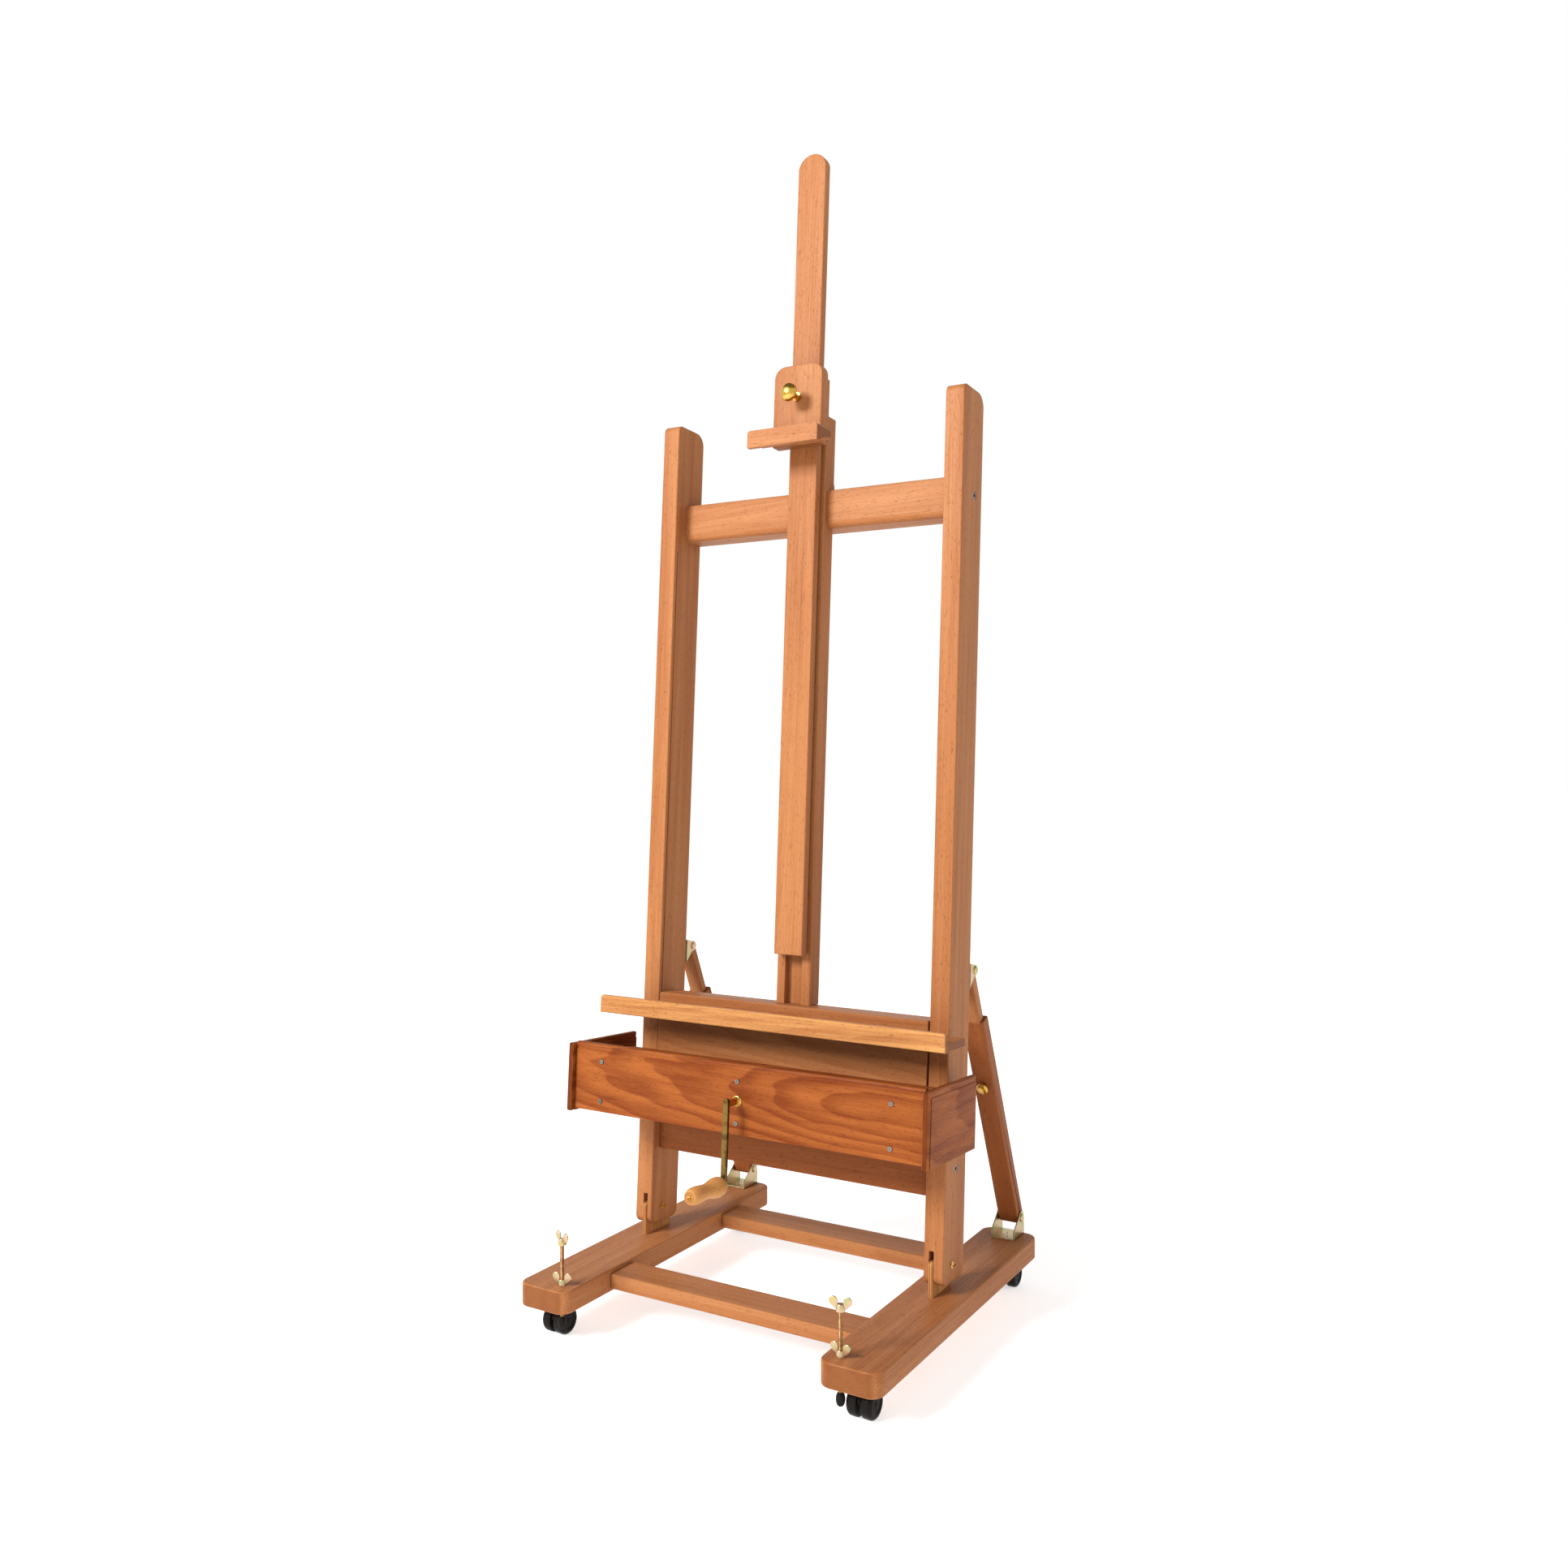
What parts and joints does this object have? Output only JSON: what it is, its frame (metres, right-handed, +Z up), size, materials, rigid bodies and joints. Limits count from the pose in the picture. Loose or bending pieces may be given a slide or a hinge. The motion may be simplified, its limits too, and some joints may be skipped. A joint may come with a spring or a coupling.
{
  "type": "crank studio easel",
  "caption": "Wooden H-frame studio easel on castors: crank-lifted canvas carriage with a tray, sliding mast with a canvas clamp, and telescoping rear struts.",
  "frame": {"origin": "on the floor, in the middle of the base, midway between the two feet and between their front and back ends", "axes": "+Z up; -Y towards the painter, so the frame leans back towards +Y; +X to the painter's right"},
  "size_m": [0.599, 0.563, 1.7703],
  "materials": {
    "beech": "oiled beech, satin",
    "tray_wood": "oiled flame-figured beech plywood, satin",
    "brass": "polished brass plating",
    "yellow_zinc": "yellow-passivated zinc plating",
    "steel": "plain machined steel",
    "bronzed_rod": "bronze-brown plated threaded rod",
    "black_plastic": "moulded black nylon",
    "black_wheel": "moulded black wheel, worn satin"
  },
  "bodies": {
    "base": {"foot_left": "beech", "foot_right": "beech", "base_rails": "beech", "pivot_tongues": "beech", "pivot_bolts": "brass", "foot_brackets": "yellow_zinc", "foot_bracket_hardware": "yellow_zinc", "leveler_lock_nuts": "yellow_zinc"},
    "castor_front_left": {"castor_housing_front_left": "black_plastic"},
    "wheels_front_left": {"castor_wheels_front_left": "black_wheel"},
    "castor_front_right": {"castor_housing_front_right": "black_plastic"},
    "wheels_front_right": {"castor_wheels_front_right": "black_wheel"},
    "castor_rear_left": {"castor_housing_rear_left": "black_plastic"},
    "wheels_rear_left": {"castor_wheels_rear_left": "black_wheel"},
    "castor_rear_right": {"castor_housing_rear_right": "black_plastic"},
    "wheels_rear_right": {"castor_wheels_rear_right": "black_wheel"},
    "leveler_pad_left": {"leveler_pad_left": "black_plastic"},
    "leveler_screw_left": {"leveler_screw_left": "bronzed_rod"},
    "leveler_pad_right": {"leveler_pad_right": "black_plastic"},
    "leveler_screw_right": {"leveler_screw_right": "bronzed_rod"},
    "mast_frame": {"upright_left": "beech", "upright_right": "beech", "crossbar_top": "beech", "crossboard_lower": "beech", "lift_racks": "steel", "frame_screws": "steel", "strut_top_brackets": "yellow_zinc", "strut_bolts": "yellow_zinc"},
    "strut_lower_left": {"strut_lower_left": "beech"},
    "strut_upper_left": {"strut_upper_left": "beech"},
    "strut_knob_left": {"strut_knob_left": "brass"},
    "strut_lower_right": {"strut_lower_right": "beech"},
    "strut_upper_right": {"strut_upper_right": "beech"},
    "strut_knob_right": {"strut_knob_right": "brass"},
    "carriage": {"canvas_lip": "beech", "canvas_shelf": "beech", "back_bar": "beech", "carriage_panel": "tray_wood", "stop_plate": "beech", "tray_front": "tray_wood", "tray_sides": "tray_wood", "tray_bottom": "beech", "tray_back": "tray_wood", "tray_ribs": "beech", "tray_screws": "steel", "crank_bush": "brass", "lift_fittings": "steel", "mast_lower": "beech", "mast_cleat": "beech"},
    "crank": {"crank_shaft": "steel", "crank_arm": "yellow_zinc", "grip_spindle": "brass"},
    "crank_grip": {"crank_grip": "beech"},
    "cross_shaft": {"cross_shaft": "steel"},
    "lift_pinion_left": {"lift_pinion_left": "steel"},
    "lift_pinion_right": {"lift_pinion_right": "steel"},
    "upper_mast": {"mast_upper": "beech"},
    "canvas_clamp": {"clamp_plate": "beech", "clamp_ledge": "beech"},
    "clamp_knob": {"clamp_knob": "brass"}
  },
  "joints": [
    {"name": "castor_swivel_front_left", "type": "hinge", "parent": "base", "child": "castor_front_left", "pos_m": [-0.248, -0.225, 0.046], "axis": [0, 0, 1], "continuous": true},
    {"name": "castor_roll_front_left", "type": "hinge", "parent": "castor_front_left", "child": "wheels_front_left", "pos_m": [-0.248, -0.2365, 0.0195], "axis": [1, 0, 0], "continuous": true},
    {"name": "castor_swivel_front_right", "type": "hinge", "parent": "base", "child": "castor_front_right", "pos_m": [0.248, -0.225, 0.046], "axis": [0, 0, 1], "continuous": true},
    {"name": "castor_roll_front_right", "type": "hinge", "parent": "castor_front_right", "child": "wheels_front_right", "pos_m": [0.248, -0.2365, 0.0195], "axis": [1, 0, 0], "continuous": true},
    {"name": "castor_swivel_rear_left", "type": "hinge", "parent": "base", "child": "castor_rear_left", "pos_m": [-0.248, 0.246, 0.046], "axis": [0, 0, 1], "continuous": true},
    {"name": "castor_roll_rear_left", "type": "hinge", "parent": "castor_rear_left", "child": "wheels_rear_left", "pos_m": [-0.248, 0.2575, 0.0195], "axis": [1, 0, 0], "continuous": true},
    {"name": "castor_swivel_rear_right", "type": "hinge", "parent": "base", "child": "castor_rear_right", "pos_m": [0.248, 0.246, 0.046], "axis": [0, 0, 1], "continuous": true},
    {"name": "castor_roll_rear_right", "type": "hinge", "parent": "castor_rear_right", "child": "wheels_rear_right", "pos_m": [0.248, 0.2575, 0.0195], "axis": [1, 0, 0], "continuous": true},
    {"name": "leveler_travel_left", "type": "slide", "parent": "base", "child": "leveler_pad_left", "axis": [0, 0, 1], "range_m": [-0.019, 0.009]},
    {"name": "leveler_turn_left", "type": "hinge", "parent": "leveler_pad_left", "child": "leveler_screw_left", "pos_m": [-0.2255, -0.2585, 0.03], "axis": [0, 0, 1], "range_deg": [-6840, 3240]},
    {"name": "leveler_travel_right", "type": "slide", "parent": "base", "child": "leveler_pad_right", "axis": [0, 0, 1], "range_m": [-0.019, 0.009]},
    {"name": "leveler_turn_right", "type": "hinge", "parent": "leveler_pad_right", "child": "leveler_screw_right", "pos_m": [0.2255, -0.2585, 0.03], "axis": [0, 0, 1], "range_deg": [-6840, 3240]},
    {"name": "frame_tilt", "type": "hinge", "parent": "base", "child": "mast_frame", "pos_m": [0, -0.0014, 0.1186], "axis": [-1, 0, 0], "range_deg": [-5, 10]},
    {"name": "strut_lower_left_swing", "type": "hinge", "parent": "base", "child": "strut_lower_left", "pos_m": [-0.2484, 0.2682, 0.1062], "axis": [-1, 0, 0], "range_deg": [-4, 8]},
    {"name": "strut_upper_left_swing", "type": "hinge", "parent": "mast_frame", "child": "strut_upper_left", "pos_m": [-0.2484, 0.08627, 0.52162], "axis": [-1, 0, 0], "range_deg": [-2.6, 1.3]},
    {"name": "strut_knob_left_turn", "type": "hinge", "parent": "strut_upper_left", "child": "strut_knob_left", "pos_m": [-0.2484, 0.16671, 0.33795], "axis": [0, -0.916, -0.4012], "range_deg": [0, 360]},
    {"name": "strut_lower_right_swing", "type": "hinge", "parent": "base", "child": "strut_lower_right", "pos_m": [0.2484, 0.2682, 0.1062], "axis": [-1, 0, 0], "range_deg": [-4, 8]},
    {"name": "strut_upper_right_swing", "type": "hinge", "parent": "mast_frame", "child": "strut_upper_right", "pos_m": [0.2484, 0.08627, 0.52162], "axis": [-1, 0, 0], "range_deg": [-2.6, 1.3]},
    {"name": "strut_knob_right_turn", "type": "hinge", "parent": "strut_upper_right", "child": "strut_knob_right", "pos_m": [0.2484, 0.16671, 0.33795], "axis": [0, -0.916, -0.4012], "range_deg": [0, 360]},
    {"name": "carriage_lift", "type": "slide", "parent": "mast_frame", "child": "carriage", "axis": [0, 0.0623, 0.9981], "range_m": [0, 0.7174]},
    {"name": "crank_turn", "type": "hinge", "parent": "carriage", "child": "crank", "pos_m": [0, -0.14863, 0.34751], "axis": [0, 0.9981, -0.0623], "range_deg": [0, 32880]},
    {"name": "crank_grip_spin", "type": "hinge", "parent": "crank", "child": "crank_grip", "pos_m": [0, -0.22391, 0.24099], "axis": [0, 0.9981, -0.0623], "continuous": true},
    {"name": "cross_shaft_turn", "type": "hinge", "parent": "carriage", "child": "cross_shaft", "pos_m": [0, -0.00791, 0.33873], "axis": [1, 0, 0], "range_deg": [0, 32880]},
    {"name": "lift_pinion_right_turn", "type": "hinge", "parent": "carriage", "child": "lift_pinion_right", "pos_m": [0.2225, -0.00962, 0.31129], "axis": [0, 0.9981, -0.0623], "range_deg": [0, 2055]},
    {"name": "lift_pinion_left_turn", "type": "hinge", "parent": "carriage", "child": "lift_pinion_left", "pos_m": [-0.2225, -0.00962, 0.31129], "axis": [0, 0.9981, -0.0623], "range_deg": [-2055, 0]},
    {"name": "mast_slide", "type": "slide", "parent": "carriage", "child": "upper_mast", "axis": [0, 0.0623, 0.9981], "range_m": [-0.074, 0.72]},
    {"name": "clamp_slide", "type": "slide", "parent": "upper_mast", "child": "canvas_clamp", "axis": [0, 0.0623, 0.9981], "range_m": [-0.72, 0.3]},
    {"name": "clamp_knob_turn", "type": "hinge", "parent": "canvas_clamp", "child": "clamp_knob", "pos_m": [0, 0.00762, 1.38249], "axis": [0, -0.9981, 0.0623], "range_deg": [0, 720]}
  ],
  "couplings": [
    {"joint": "leveler_turn_left", "follows": "leveler_travel_left", "rad_per_m": 6283.2},
    {"joint": "leveler_turn_right", "follows": "leveler_travel_right", "rad_per_m": 6283.2},
    {"joint": "strut_lower_left_swing", "follows": "frame_tilt", "ratio": 0.749},
    {"joint": "strut_upper_left_swing", "follows": "frame_tilt", "ratio": -0.251},
    {"joint": "strut_lower_right_swing", "follows": "frame_tilt", "ratio": 0.749},
    {"joint": "strut_upper_right_swing", "follows": "frame_tilt", "ratio": -0.251},
    {"joint": "carriage_lift", "follows": "crank_turn", "m_per_rad": 0.00125},
    {"joint": "cross_shaft_turn", "follows": "crank_turn", "ratio": 1},
    {"joint": "lift_pinion_right_turn", "follows": "crank_turn", "ratio": 0.0625},
    {"joint": "lift_pinion_left_turn", "follows": "crank_turn", "ratio": -0.0625}
  ]
}
